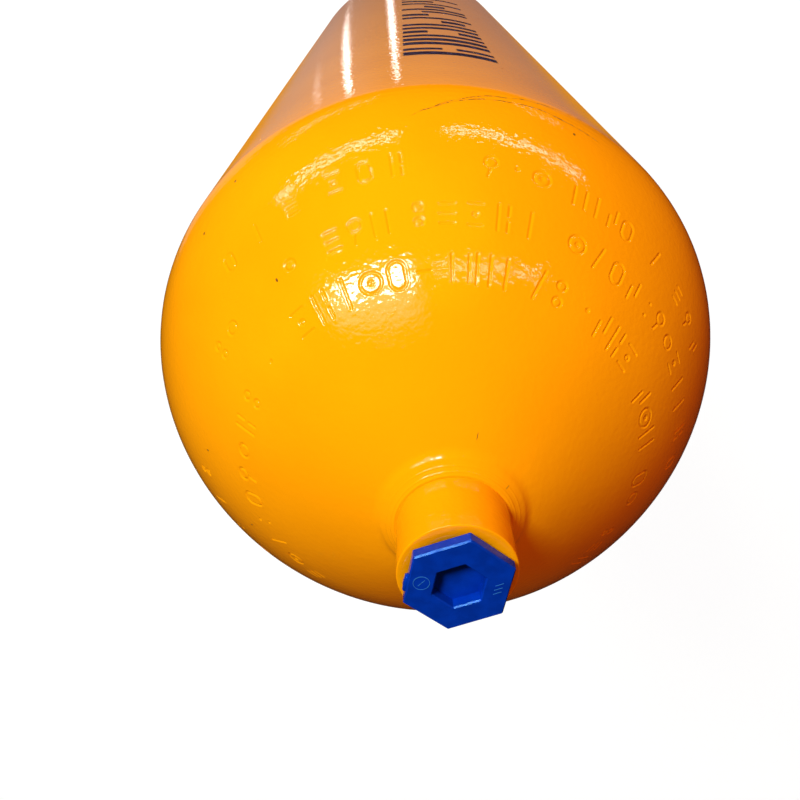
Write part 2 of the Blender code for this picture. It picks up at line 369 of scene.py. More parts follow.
def rounded_hexagon(corner_radius, corner_round, inset):
    """Points round a hexagon with rounded corners, moved inwards by inset."""
    rounding = max(corner_round - inset, LEAST_ROUND)
    reach = corner_radius - inset / FLAT_SHARE - rounding / FLAT_SHARE
    points = []
    for corner in range(6):
        heading = HEX_ANGLE + corner * math.pi / 3
        for step in range(HEX_CORNER_STEPS + 1):
            angle = heading + math.pi / 3 * (step / HEX_CORNER_STEPS - 0.5)
            x = reach * math.cos(heading) + rounding * math.cos(angle)
            y = reach * math.sin(heading) + rounding * math.sin(angle)
            points.append((x, y))
    return points


def make_piece(name, bm, materials, sharp_degrees=40):
    bmesh.ops.recalc_face_normals(bm, faces=bm.faces)
    mesh = bpy.data.meshes.new(name)
    bm.to_mesh(mesh)
    bm.free()
    for material in materials:
        mesh.materials.append(material)
    mesh.shade_smooth()
    mesh.set_sharp_from_angle(angle=math.radians(sharp_degrees))
    piece = bpy.data.objects.new(name, mesh)
    bpy.context.scene.collection.objects.link(piece)
    return piece


# Stamped marks, made of strokes in units of a mark's height, with y towards the neck.
# A stroke (x, y, x, y, radius) runs at that radius round the line between its two points.
MARK_SHAPES = {
    "bar": [(0, -0.5, 0, 0.5, 0)],
    "lean": [(-0.12, -0.5, 0.12, 0.5, 0)],
    "pair": [(-0.2, -0.5, -0.2, 0.5, 0), (0.2, -0.5, 0.2, 0.5, 0)],
    "rungs": [(-0.25, 0.38, 0.25, 0.38, 0), (-0.25, 0, 0.25, 0, 0), (-0.25, -0.38, 0.25, -0.38, 0)],
    "gate": [(-0.26, -0.45, -0.26, 0.45, 0), (0.26, -0.45, 0.26, 0.45, 0)],
    "slot": [(0, -0.2, 0, 0.2, 0.26)],
    "ring": [(0, 0, 0, 0, 0.27)],
    "eye": [(0, 0, 0, 0, 0.34), (0, 0, 0, 0, 0.06)],
    "pan": [(0, -0.2, 0, -0.2, 0.24), (0, 0.08, 0.1, 0.5, 0)],
    "dots": [(0, 0.3, 0, 0.3, 0.02), (0, -0.3, 0, -0.3, 0.02)],
    "dot": [(0, -0.1, 0, -0.1, 0.04)],
    "dash": [(-0.2, 0, 0.2, 0, 0)],
    "beads": [(0, 0.28, 0, 0.28, 0.15), (0, -0.28, 0, -0.28, 0.15)],
    "steps": [(-0.16, -0.5, -0.16, 0.12, 0), (0.16, -0.12, 0.16, 0.5, 0)],
    "split": [(-0.18, -0.5, -0.18, -0.12, 0), (-0.18, 0.12, -0.18, 0.5, 0), (0.18, -0.5, 0.18, 0.5, 0)],
    "shelf": [(-0.24, 0.42, 0.24, 0.42, 0), (0, 0, 0, 0, 0.08), (-0.24, -0.42, 0.24, -0.42, 0)],
}
# (radius on the shoulder, first heading and step in degrees, height, shapes)
MARK_ROWS = [
    (0.0860, -27, 8.4, 0.0110, "beads split ring pan slot dots bar eye rungs"),
    (0.0855, -40, 6.5, 0.0080, "dot"),
    (0.0870, -54, -6.9, 0.0125, "shelf split bar eye slot dash"),
    (0.0875, -97.5, -5.8, 0.0125, "gate pair bar"),
    (0.0875, -118, -6.0, 0.0125, "lean beads"),
    (0.0872, -133, -6.0, 0.0120, "dot steps split shelf"),
    (0.0860, -164, -7.0, 0.0120, "steps eye gate"),
    (0.0855, -192, -7.2, 0.0115, "slot ring"),
    (0.0820, -212, -7.0, 0.0105, "beads rungs pair"),
    (0.1035, -58, -11.0, 0.0085, "ring"),
    (0.1030, -69, -5.6, 0.0110, "rungs pan gate"),
    (0.1035, -88.5, -6.1, 0.0115, "beads rungs shelf split bar"),
    (0.1040, -124.5, -5.9, 0.0110, "eye lean slot steps dots"),
    (0.1055, -153, -5.9, 0.0108, "pan ring shelf bar bar"),
    (0.1080, -185.5, -9.0, 0.0105, "split slot"),
    (0.1040, -31, -6.3, 0.0100, "beads ring"),
    (0.1180, -63, 8.6, 0.0095, "rungs bar slot"),
    (0.1185, -72.7, -6.3, 0.0105, "shelf slot split"),
    (0.1180, -103.5, -5.2, 0.0105, "pan dot eye"),
    (0.1175, -122.5, -4.1, 0.0105, "gate bar steps slot"),
    (0.1185, -144, -10.0, 0.0095, "lean"),
    (0.1185, -154, -6.6, 0.0095, "rungs pan steps"),
    (0.1130, 6, 9.0, 0.0095, "beads bar dots ring"),
]


def placed_marks():
    """Every mark as (heading, radius on the shoulder, height, strokes)."""
    marks = []
    for radius, first, step, height, names in MARK_ROWS:
        for index, name in enumerate(names.split()):
            marks.append((math.radians(first + step * index), radius, height, MARK_SHAPES[name]))
    return marks


def stroke_distance(x, y, stroke):
    start_x, start_y, end_x, end_y, radius = stroke
    along_x = end_x - start_x
    along_y = end_y - start_y
    length = max(along_x ** 2 + along_y ** 2, 1e-9)
    share = np.clip(((x - start_x) * along_x + (y - start_y) * along_y) / length, 0, 1)
    return np.abs(np.hypot(x - start_x - share * along_x, y - start_y - share * along_y) - radius)


def distance_to_marks(places):
    """Distance along the shoulder from each place to the nearest stroke of a mark."""
    nearest = np.full(len(places), 1.0)
    radii = np.hypot(places[:, 0], places[:, 1])
    headings = np.arctan2(places[:, 1], places[:, 0])
    on_shoulder = (places[:, 2] > SHOULDER_Z) & (radii > INNER_RADIUS / 2)
    reach = 0.001
    for heading, radius, height, strokes in placed_marks():
        edge = dome_point(radius, BODY_RADIUS, SHOULDER_HEIGHT)
        stretch = (edge - dome_point(radius + reach, BODY_RADIUS, SHOULDER_HEIGHT)).length / reach
        turned = (headings - heading + math.pi) % math.tau - math.pi
        x = turned * radius / height
        y = (radius - radii) * stretch / height
        close = np.nonzero(on_shoulder & (np.abs(x) < 1) & (np.abs(y) < 1))[0]
        for stroke in strokes:
            away = stroke_distance(x[close], y[close], stroke) * height
            nearest[close] = np.minimum(nearest[close], away)
    return nearest


def smooth_step(low, high, values):
    share = np.clip((values - low) / (high - low), 0, 1)
    return share * share * (3 - 2 * share)


def stamped_depth(away):
    """Depth of a stamped groove with a slightly raised rim, by distance from its centre line."""
    share = away / MARK_STROKE
    groove = 1 - smooth_step(MARK_FLOOR, MARK_EDGE, share)
    rim = np.exp(-((share - MARK_RIM) / MARK_RIM_WIDTH) ** 2)
    return MARK_DEPTH * (groove - MARK_RIM_HEIGHT * rim)


def smooth_noise(places, scale, seed):
    """Noise from about 0 to about 1."""
    offset = Vector((seed, seed * 1.7, -seed))
    return 0.5 + 0.5 * np.array([noise.noise(Vector(place) * scale + offset) for place in places])


def refine_marks(bm):
    """Splits the shoulder's faces under the marks, so that the strokes have a real shape."""
    faces = list(bm.faces)
    centres = np.array([face.calc_center_median() for face in faces])
    close = distance_to_marks(centres) < MARK_STROKE + MARK_CELL / 2
    outside = np.abs(shoulder_level(centres) - 1) < ON_CURVE
    edges = {edge for index in np.nonzero(close & outside)[0] for edge in faces[index].edges}
    bmesh.ops.subdivide_edges(bm, edges=list(edges), cuts=MARK_CUTS, use_grid_fill=True)


def shoulder_level(places):
    """1 on the outside of the shoulder, less inside it."""
    radii = np.hypot(places[:, 0], places[:, 1])
    heights = np.maximum(places[:, 2] - SHOULDER_Z, 0)
    return (radii / BODY_RADIUS) ** SHOULDER_POWER + (heights / SHOULDER_HEIGHT) ** SHOULDER_POWER


def spinning_ridges(headings, heights):
    """Depth of the shallow rings that the closing rollers leave above the straight wall."""
    wobble = sum(reach * np.sin(waves * headings + phase) for reach, waves, phase in RING_WOBBLES)
    rings = 0.5 + 0.5 * np.sin((heights + wobble) * math.tau / RING_PITCH)
    rise = smooth_step(0.0, RING_RISE, heights)
    fade = 1 - smooth_step(RING_FADE_LOW, RING_FADE_HIGH, heights)
    return RING_DEPTH * rings * rise * fade


def shape_outside(bm):
    """Puts the outside exactly on its curve, then presses in the marks, rings and slight waves."""
    bm.verts.ensure_lookup_table()
    places = np.array([vertex.co for vertex in bm.verts])
    level = shoulder_level(places)
    radii = np.hypot(places[:, 0], places[:, 1])
    heights = places[:, 2] - SHOULDER_Z
    on_shoulder = (heights > 0) & (np.abs(level - 1) < ON_CURVE) & (radii > ROOT_RADIUS + SLACK)
    on_wall = (heights <= 0) & (places[:, 2] > HEEL_RADIUS) & (radii > BODY_RADIUS - SLACK)
    indices = np.nonzero(on_shoulder | on_wall)[0]
    headings = np.arctan2(places[indices, 1], places[indices, 0])
    on_dome = on_shoulder[indices]
    scale = np.where(on_dome, level[indices] ** (-1 / SHOULDER_POWER), 1)
    radius = radii[indices] * scale
    height = heights[indices] * scale
    outward = (radius / BODY_RADIUS) ** (SHOULDER_POWER - 1) / BODY_RADIUS
    share = np.maximum(height, 0) / SHOULDER_HEIGHT
    upward = np.where(on_dome, share ** (SHOULDER_POWER - 1) / SHOULDER_HEIGHT, 0)
    length = np.hypot(outward, upward)
    stretched = places[indices] * np.array([1, 1, WAVE_STRETCH])
    waves = WAVE_DEPTH * smooth_noise(stretched, WAVE_SCALE, seed=3.1)
    waves += RIPPLE_DEPTH * smooth_noise(places[indices], RIPPLE_SCALE, seed=8.4)
    waves *= smooth_step(ROOT_RADIUS, ROOT_RADIUS + WAVE_FADE, radius)
    depth = waves + np.where(on_dome, spinning_ridges(headings, height), 0)
    depth += stamped_depth(distance_to_marks(places[indices]))
    radius -= depth * outward / length
    height -= depth * upward / length
    for index, heading, new_radius, new_height in zip(indices, headings, radius, height):
        z = new_height + SHOULDER_Z
        bm.verts[index].co = (new_radius * math.cos(heading), new_radius * math.sin(heading), z)


# The pieces

def wall_outline():
    """The heel, the straight wall and the shoulder as far as its fine facets go."""
    points = arc((BODY_RADIUS - HEEL_RADIUS, HEEL_RADIUS), HEEL_RADIUS, 270, 360, HEEL_STEPS)
    for step in range(1, WALL_STEPS):
        points.append(Vector((BODY_RADIUS, HEEL_RADIUS + (SHOULDER_Z - HEEL_RADIUS) * step / WALL_STEPS)))
    return points + dome(BODY_RADIUS, SHOULDER_HEIGHT, BODY_RADIUS, FINE_BAND_RADIUS, SHOULDER_STEPS)


def neck_outline():
    """The turned neck above its step, with fine tool rings and a rounded edge at the face."""
    height = NECK_FACE_Z - NECK_EDGE - NECK_ROOT_Z
    points = []
    for step in range(NECK_STEPS + 1):
        ripple = NECK_TOOL_DEPTH * (math.sin(step * NECK_TOOL_TURN) - 1)
        points.append(Vector((NECK_RADIUS + ripple, NECK_ROOT_Z + height * step / NECK_STEPS)))
    edge_centre = (NECK_RADIUS - NECK_EDGE, NECK_FACE_Z - NECK_EDGE)
    return points + arc(edge_centre, NECK_EDGE, 0, 90, EDGE_STEPS)[1:]


def inside_outline():
    """The inner shoulder, wall and floor, from the neck's bore down to the axis."""
    trough_centre = INNER_RADIUS - TROUGH_RADIUS
    rise = INNER_BASE_HEIGHT - FOOT_THICKNESS
    corner = (trough_centre, FOOT_THICKNESS + TROUGH_RADIUS)
    shoulder = dome(INNER_RADIUS, INNER_SHOULDER_HEIGHT, INNER_RADIUS, BORE_RADIUS, INNER_SHOULDER_STEPS)
    trough = arc(corner, TROUGH_RADIUS, 360, 270, INNER_CURVE_STEPS)
    floor = raised_base(rise, trough_centre, FOOT_THICKNESS, TROUGH_RADIUS, INNER_CURVE_STEPS)
    return shoulder[::-1] + trough + floor[::-1][1:]


def add_shell_outside(bm):
    """Everything painted, from under the base to the neck's mouth; returns the mouth's ring."""
    foot_radius = BODY_RADIUS - HEEL_RADIUS - FOOT_WIDTH
    under = raised_base(BASE_RISE, foot_radius, 0, FOOT_CURVE, BASE_STEPS)
    underside, foot_inner = turn_outline(bm, under, MIDDLE)
    close_ring(bm, underside, BASE_RISE)
    foot_outer, shoulder_top = turn_outline(bm, wall_outline(), FINE)
    join_coarse_to_fine(bm, foot_inner, foot_outer)
    upper_radius = FINE_BAND_RADIUS - FINE_BAND_STEP
    upper = dome(BODY_RADIUS, SHOULDER_HEIGHT, upper_radius, ROOT_RADIUS, UPPER_SHOULDER_STEPS)
    upper += neck_root() + neck_outline()
    upper_start, neck_edge = turn_outline(bm, upper, MIDDLE)
    join_coarse_to_fine(bm, upper_start, shoulder_top)
    mouth = make_ring(bm, THREAD_RADIUS + THREAD_MOUTH, NECK_FACE_Z, COARSE)
    join_coarse_to_fine(bm, mouth, neck_edge)
    return mouth


def add_shell_inside(bm, mouth):
    """The neck's thread and the hollow below it."""
    thread_end = make_ring(bm, BORE_RADIUS, NECK_FACE_Z - THREAD_LENGTH, COARSE)
    profile = thread_profile(THREAD_RADIUS, BORE_RADIUS, THREAD_CREST)
    join_by_thread(bm, thread_end, mouth, profile, NECK_FACE_Z)
    bore_end, inner_floor = turn_outline(bm, inside_outline(), COARSE)
    join_rings(bm, bore_end, thread_end)
    close_ring(bm, inner_floor, INNER_BASE_HEIGHT)


def make_shell(materials):
    """The hollow cylinder as one closed mesh; its second material is bare metal inside."""
    bm = bmesh.new()
    mouth = add_shell_outside(bm)
    outside_count = len(bm.faces)
    add_shell_inside(bm, mouth)
    bm.faces.ensure_lookup_table()
    for index in range(outside_count, len(bm.faces)):
        bm.faces[index].material_index = 1
    refine_marks(bm)
    shape_outside(bm)
    return make_piece("painted_shell", bm, materials, sharp_degrees=50)


def make_washer(materials):
    low = WASHER_LOW.z
    high = WASHER_HIGH.z
    outer = WASHER_HIGH.x
    inner = WASHER_INNER_RADIUS
    edge = (high - low) * WASHER_EDGE
    outline = arc((outer - edge, low + edge), edge, 270, 360, EDGE_STEPS)
    outline += arc((outer - edge, high - edge), edge, 0, 90, EDGE_STEPS)
    outline += arc((inner + edge, high - edge), edge, 90, 180, EDGE_STEPS)
    outline += arc((inner + edge, low + edge), edge, 180, 270, EDGE_STEPS)
    bm = bmesh.new()
    first, last = turn_outline(bm, outline, MIDDLE)
    join_rings(bm, last, first)
    return make_piece("neck_washer", bm, materials)


def hexagon_edge(top, corner_radius, corner_round, size, outward):
    """A small chamfer round a hexagon; outward is 1 for the head and -1 for the socket's mouth."""
    pairs = [(0, top - EDGE_SLOPE * size), (outward * size, top)]
    return [(rounded_hexagon(corner_radius, corner_round, inset), height) for inset, height in pairs]


def head_outlines():
    """Hexagons from the head's underside over its rim and face into the socket, with their heights."""
    rim = (HEAD_CORNER_RADIUS, HEAD_CORNER_ROUND, HEAD_EDGE, 1)
    under = [(points, 2 * HEAD_UNDERSIDE - height) for points, height in hexagon_edge(HEAD_UNDERSIDE, *rim)]
    socket = (SOCKET_CORNER_RADIUS, SOCKET_CORNER_ROUND)
    mouth = hexagon_edge(HEAD_FACE, *socket, SOCKET_EDGE, -1)
    floor = PLUG_TOP - SOCKET_DEPTH
    foot = [
        (rounded_hexagon(*socket, 0), floor + SOCKET_FLOOR_ROUND),
        (rounded_hexagon(*socket, SOCKET_FLOOR_ROUND), floor),
    ]
    return under[::-1] + hexagon_edge(HEAD_FACE, *rim) + mouth[::-1] + foot


def make_plug_head(materials):
    """Hexagon head with its deep socket, and the hollow core inside the shank."""
    bm = bmesh.new()
    core_radius = BORE_RADIUS - THREAD_PLAY - CORE_PLAY
    socket_floor = PLUG_TOP - SOCKET_DEPTH
    core_turn = HEX_ANGLE - math.pi / 6
    core_bottom = make_ring(bm, core_radius, socket_floor - CORE_FLOOR, HEX_POINTS, core_turn)
    core_top = make_ring(bm, core_radius, HEAD_UNDERSIDE, HEX_POINTS, core_turn)
    close_ring(bm, core_bottom, socket_floor - CORE_FLOOR)
    join_rings(bm, core_bottom, core_top)
    last = core_top
    for points, height in head_outlines():
        ring = ring_of(bm, points, height)
        join_rings(bm, last, ring)
        last = ring
    close_ring(bm, last, socket_floor)
    return make_piece("plug_head", bm, materials, sharp_degrees=30)


def make_plug_shank(materials):
    bm = bmesh.new()
    root = BORE_RADIUS - THREAD_PLAY
    crest = THREAD_RADIUS - THREAD_PLAY
    tip_edge = make_ring(bm, root - SHANK_CHAMFER, PLUG_TIP, COARSE)
    low_ring = make_ring(bm, root, PLUG_TIP + SHANK_CHAMFER, COARSE)
    high_ring = make_ring(bm, root, NECK_FACE_Z - SHANK_PLAIN, COARSE)
    shank_top = make_ring(bm, root, HEAD_UNDERSIDE + SHANK_OVERLAP, COARSE)
    close_ring(bm, tip_edge, PLUG_TIP)
    join_rings(bm, tip_edge, low_ring)
    ridge_start = NECK_FACE_Z + PITCH * (THREAD_CREST + (1 - THREAD_CREST - THREAD_ROOT) / 2)
    join_by_thread(bm, low_ring, high_ring, thread_profile(root, crest, THREAD_ROOT), ridge_start)
    join_rings(bm, high_ring, shank_top)
    close_ring(bm, shank_top, HEAD_UNDERSIDE + SHANK_OVERLAP)
    return make_piece("plug_shank", bm, materials)


def make_gate_lug(materials):
    """Snapped moulding gate left on one flat of the head."""
    heading = HEX_ANGLE - math.pi / 6
    bm = bmesh.new()
    bmesh.ops.create_cube(bm, size=1)
    bmesh.ops.subdivide_edges(bm, edges=bm.edges[:], cuts=LUG_CUTS, use_grid_fill=True)
    for vertex in bm.verts:
        place = vertex.co.copy()
        square = max(abs(place.x), abs(place.y), abs(place.z))
        rounded = place.lerp(place.normalized() * square, LUG_ROUNDNESS)
        rough = 1 + LUG_ROUGHNESS * noise.noise(place * LUG_NOISE_SCALE + LUG_NOISE_PLACE)
        vertex.co = rounded * Vector((2 * LUG_DEPTH, LUG_LENGTH, LUG_HEIGHT)) * rough
    piece = make_piece("plug_gate_lug", bm, materials, sharp_degrees=80)
    outward = Vector((math.cos(heading), math.sin(heading), 0))
    sideways = Vector((-outward.y, outward.x, 0))
    piece.location = outward * HEAD_CORNER_RADIUS * FLAT_SHARE + sideways * LUG_SHIFT
    piece.location.z = (HEAD_UNDERSIDE + PLUG_TOP) / 2
    piece.rotation_euler.z = heading
    return piece


def head_place(heading_degrees, distance):
    """A place on the head's face."""
    heading = math.radians(heading_degrees)
    return Vector((distance * math.cos(heading), distance * math.sin(heading), HEAD_FACE))


def make_mould_ring(materials):
    """A low raised ring on the head's face. Its pale colour is a painted highlight of its raised edges."""
    bm = bmesh.new()
    foot = MOULD_LINE / 2
    crest = MOULD_LINE / 3
    profile = [(-foot, -MOULD_SINK), (-crest, MOULD_RISE), (crest, MOULD_RISE), (foot, -MOULD_SINK)]
    outline = [Vector((MOULD_RING_RADIUS + across, height)) for across, height in profile]
    first, last = turn_outline(bm, outline, MOULD_RING_FACETS)
    join_rings(bm, last, first)
    piece = make_piece("plug_mould_ring", bm, materials, sharp_degrees=60)
    piece.location = head_place(*MOULD_RING_PLACE)
    return piece


def make_mould_bar(name, materials, heading, distance, turn, length):
    """A low raised bar on the head's face. Its pale colour is a painted highlight of its raised edges."""
    bm = bmesh.new()
    bmesh.ops.create_cube(bm, size=1)
    bmesh.ops.scale(bm, vec=(length, MOULD_LINE, MOULD_RISE + MOULD_SINK), verts=bm.verts)
    bmesh.ops.translate(bm, vec=(0, 0, (MOULD_RISE - MOULD_SINK) / 2), verts=bm.verts)
    bmesh.ops.bevel(bm, geom=bm.edges[:], offset=MOULD_EDGE, segments=2, affect="EDGES")
    piece = make_piece(name, bm, materials, sharp_degrees=60)
    piece.location = head_place(heading, distance)
    piece.rotation_euler.z = math.radians(turn)
    return piece


# Materials

# Paint
PAINT_DARK = (0.880, 0.285, 0.0008, 1.0)
PAINT_LIGHT = (0.930, 0.310, 0.0012, 1.0)
PAINT_SMOOTH = 0.035
PAINT_ROUGH = 0.07
PEEL_SCALE = 400.0
PEEL_DEPTH = 0.00010
PAINT_GRAIN_DEPTH = 0.00002
DIRT_COLOUR = (0.045, 0.022, 0.010, 1.0)
DIRT_SHARE = 0.85
DULL = 0.55  # roughness added where the paint is printed or dirty
SPECKS_PER_METRE = 9.0
SPECK_RADIUS = 0.0045  # these two in cells of the speck pattern
SPECK_EDGE = 0.0075

# Plain painted bars on the body, which stand for lettering:
# (drop of the upper edge, width along the axis, first and last share of the band round the body)
BAR_COLOUR = (0.006, 0.004, 0.030, 1.0)
BAR_TOP = SHOULDER_Z - 0.0925
BAR_HEADINGS = (-109.2, -88.2)
BAR_WANDER = 0.0030
BAR_EDGE = 0.0004
BAR_END = 0.25
BARS = [
    (0.0000, 0.0125, 0.00, 1.00), (0.0190, 0.0090, 0.00, 0.42), (0.0190, 0.0090, 0.57, 1.00),
    (0.0420, 0.0120, 0.00, 1.00), (0.0600, 0.0125, 0.00, 1.00), (0.0800, 0.0105, 0.00, 1.00),
    (0.1000, 0.0130, 0.00, 0.30), (0.1000, 0.0130, 0.68, 1.00), (0.1220, 0.0115, 0.00, 1.00),
    (0.1430, 0.0115, 0.00, 1.00), (0.1640, 0.0150, 0.12, 0.46), (0.1890, 0.0115, 0.00, 1.00),
    (0.2110, 0.0150, 0.60, 1.00), (0.2370, 0.0120, 0.00, 0.70), (0.2580, 0.0130, 0.00, 1.00),
    (0.2820, 0.0150, 0.30, 0.64), (0.3090, 0.0120, 0.00, 1.00), (0.3330, 0.0130, 0.45, 1.00),
    (0.3600, 0.0120, 0.00, 1.00),
]

# Dirty scratches above the straight wall: (top, drop to its other end, low and high heading)
SCUFFS = [
    (SHOULDER_Z + 0.0237, 0.022, -125.0, -90.0),
    (SHOULDER_Z + 0.0197, 0.009, -112.0, -94.0),
]
SCUFF_HALF_WIDTH = 0.0003
SCUFF_EDGE = 0.0002
SCUFF_DRIFT = 0.005
SCUFF_TAIL = 12.0
SCUFF_END = 1.5

# Steel and plastic
STEEL_DARK = (0.11, 0.105, 0.10, 1.0)
STEEL_LIGHT = (0.24, 0.23, 0.22, 1.0)
STEEL_METALLIC = 0.85
STEEL_GRAIN_DEPTH = 0.00003
BLUE_DARK = (0.0003, 0.022, 0.320, 1.0)
BLUE_LIGHT = (0.0004, 0.029, 0.420, 1.0)
BLUE_ROUGHNESS = 0.19
# Pale moulding: the washer's own colour. On the plug's moulded marks the same pale colour is a painted
# highlight, for the light their raised edges catch.
PALE_AND_MARK_HIGHLIGHT_DARK = (0.018, 0.110, 0.460, 1.0)
PALE_AND_MARK_HIGHLIGHT_LIGHT = (0.030, 0.160, 0.520, 1.0)
PALE_ROUGHNESS = 0.45
PLASTIC_SPECULAR = 0.3
PLASTIC_TINT = (0.25, 0.70, 1.0, 1.0)
PLASTIC_FLOW_DEPTH = 0.00005
PLASTIC_GRAIN_DEPTH = 0.00002
IOR = 1.5


class Nodes:
    """Adds shader nodes. An input may be a number, a colour, a vector or another node's output."""

    def __init__(self, tree):
        self.tree = tree

    def add(self, kind, inputs=None, output=0, **settings):
        node = self.tree.nodes.new(kind)
        for name, value in settings.items():
            setattr(node, name, value)
        for name, value in (inputs or {}).items():
            socket = node.inputs[name]
            if isinstance(value, bpy.types.NodeSocket):
                self.tree.links.new(value, socket)
            else:
                socket.default_value = value
        return node.outputs[output] if node.outputs else None

    def math(self, operation, first, *others):
        """The operation on the first two values, then on that and the next one, and so on."""
        for other in others:
            first = self.add("ShaderNodeMath", {0: first, 1: other}, operation=operation)
        return first

    def separate(self, vector):
        """The vector's x, y and z."""
        split = self.tree.nodes.new("ShaderNodeSeparateXYZ")
        self.tree.links.new(vector, split.inputs[0])
        return tuple(split.outputs)

    def remap(self, value, low, high, new_low=0.0, new_high=1.0):
        inputs = {"Value": value, 1: low, 2: high, 3: new_low, 4: new_high}
        return self.add("ShaderNodeMapRange", inputs, interpolation_type="SMOOTHSTEP")

    def between(self, value, low, high, soft):
        """1 where value lies between low and high, with soft edges."""
        rise = self.remap(value, low - soft, low + soft)
        fall = self.remap(value, high - soft, high + soft, 1.0, 0.0)
        return self.math("MULTIPLY", rise, fall)

    def noise(self, place, scale, detail, roughness=0.5):
        inputs = {"Vector": place, "Scale": scale, "Detail": detail, "Roughness": roughness}
        return self.add("ShaderNodeTexNoise", inputs)

    def mottle(self, place, scale, detail, spread, low=0.0, high=1.0):
        """Noise stretched to reach low and high at this distance from its middle."""
        return self.remap(self.noise(place, scale, detail), 0.5 - spread, 0.5 + spread, low, high)

    def wander(self, place, scale, reach):
        """Noise centred on 0, for moving a line from side to side."""
        return self.math("MULTIPLY", self.math("SUBTRACT", self.noise(place, scale, 3.0), 0.5), reach)

    def mix(self, factor, first, second):
        return self.add("ShaderNodeMix", {0: factor, 6: first, 7: second}, output=2, data_type="RGBA")

    def bump(self, height, distance, normal=None):
        inputs = {"Height": height, "Distance": distance}
        if normal is not None:
            inputs["Normal"] = normal
        return self.add("ShaderNodeBump", inputs)


def new_material(name):
    material = bpy.data.materials.new(name)
    material.use_nodes = True
    tree = material.node_tree
    tree.nodes.clear()
    return material, Nodes(tree)


def finish_material(nodes, inputs):
    shader = nodes.add("ShaderNodeBsdfPrincipled", inputs)
    nodes.add("ShaderNodeOutputMaterial", {"Surface": shader})


def object_place(nodes):
    return nodes.add("ShaderNodeTexCoord", output=3)


def bar_mask(nodes, place, heading, height):
    height = nodes.math("ADD", height, nodes.wander(place, 120.0, BAR_WANDER))
    low, high = BAR_HEADINGS
    bars = []
    for start, width, first, last in BARS:
        top = BAR_TOP - start
        along = nodes.between(height, top - width, top, BAR_EDGE)
        around = nodes.between(heading, low + (high - low) * first, low + (high - low) * last, BAR_END)
        bars.append(nodes.math("MULTIPLY", along, around))
    return nodes.math("MAXIMUM", *bars)


def scuff_line(nodes, place, heading, height, top, drop, low, high):
    """A thin dirty scratch that climbs by the drop to its top, from the low heading to the high one."""
    share = nodes.math("DIVIDE", nodes.math("SUBTRACT", heading, low), high - low)
    fall = nodes.math("MULTIPLY", share, share, drop)
    level = nodes.math("ADD", height, nodes.wander(place, 60.0, SCUFF_DRIFT))
    level = nodes.math("SUBTRACT", level, nodes.math("ADD", fall, top - drop))
    across = nodes.between(level, -SCUFF_HALF_WIDTH, SCUFF_HALF_WIDTH, SCUFF_EDGE)
    along = nodes.between(heading, low - SCUFF_TAIL, high, SCUFF_END)
    broken = nodes.remap(nodes.noise(place, 320.0, 4.0, 0.7), 0.40, 0.56, 0.15, 1.0)
    return nodes.math("MULTIPLY", across, along, broken)


def dirt_mask(nodes, place, heading, height):
    """Small dark specks all over, and the scratches."""
    around = nodes.math("MULTIPLY", heading, math.radians(1) * BODY_RADIUS)
    unrolled = nodes.add("ShaderNodeCombineXYZ", {0: around, 1: height})
    inputs = {"Vector": unrolled, "Scale": SPECKS_PER_METRE}
    speckle = nodes.add("ShaderNodeTexVoronoi", inputs, voronoi_dimensions="2D")
    specks = nodes.remap(speckle, SPECK_RADIUS, SPECK_EDGE, 1.0, 0.0)
    scuffs = [scuff_line(nodes, place, heading, height, *scuff) for scuff in SCUFFS]
    return nodes.math("MAXIMUM", specks, *scuffs)


def paint_material():
    material, nodes = new_material("amber_paint_gloss")
    place = object_place(nodes)
    x, y, z = nodes.separate(place)
    heading = nodes.math("MULTIPLY", nodes.math("ARCTAN2", y, x), math.degrees(1))
    colour = nodes.mix(nodes.mottle(place, 14.0, 4.0, spread=0.15), PAINT_DARK, PAINT_LIGHT)
    dirt = dirt_mask(nodes, place, heading, z)
    colour = nodes.mix(nodes.math("MULTIPLY", dirt, DIRT_SHARE), colour, DIRT_COLOUR)
    bars = bar_mask(nodes, place, heading, z)
    colour = nodes.mix(bars, colour, BAR_COLOUR)
    gloss = nodes.mottle(place, 60.0, 3.0, spread=0.15, low=PAINT_SMOOTH, high=PAINT_ROUGH)
    dull = nodes.math("MULTIPLY", nodes.math("MAXIMUM", dirt, bars), DULL)
    peel = nodes.bump(nodes.noise(place, PEEL_SCALE, 1.0), PEEL_DEPTH)
    grain = nodes.bump(nodes.noise(place, 950.0, 1.0), PAINT_GRAIN_DEPTH, peel)
    finish_material(nodes, {
        "Base Color": colour, "Roughness": nodes.math("ADD", gloss, dull), "Normal": grain, "IOR": IOR,
    })
    return material


def steel_material():
    material, nodes = new_material("phosphated_steel")
    place = object_place(nodes)
    colour = nodes.mix(nodes.mottle(place, 90.0, 4.0, spread=0.2), STEEL_DARK, STEEL_LIGHT)
    rough = nodes.mottle(place, 240.0, 3.0, spread=0.2, low=0.34, high=0.55)
    grain = nodes.bump(nodes.noise(place, 900.0, 3.0), STEEL_GRAIN_DEPTH)
    finish_material(nodes, {
        "Base Color": colour, "Metallic": STEEL_METALLIC, "Roughness": rough, "Normal": grain,
    })
    return material


def plastic_material(name, dark, light, roughness):
    material, nodes = new_material(name)
    place = object_place(nodes)
    colour = nodes.mix(nodes.mottle(place, 180.0, 4.0, spread=0.2), dark, light)
    rough = nodes.mottle(place, 500.0, 3.0, spread=0.2, low=roughness - 0.05, high=roughness + 0.07)
    flow = nodes.bump(nodes.noise(place, 160.0, 2.0), PLASTIC_FLOW_DEPTH)
    grain = nodes.bump(nodes.noise(place, 2400.0, 2.0), PLASTIC_GRAIN_DEPTH, flow)
    finish_material(nodes, {
        "Base Color": colour, "Roughness": rough, "Normal": grain, "IOR": IOR,
        "Specular IOR Level": PLASTIC_SPECULAR, "Specular Tint": PLASTIC_TINT,
    })
    return material


# Stage

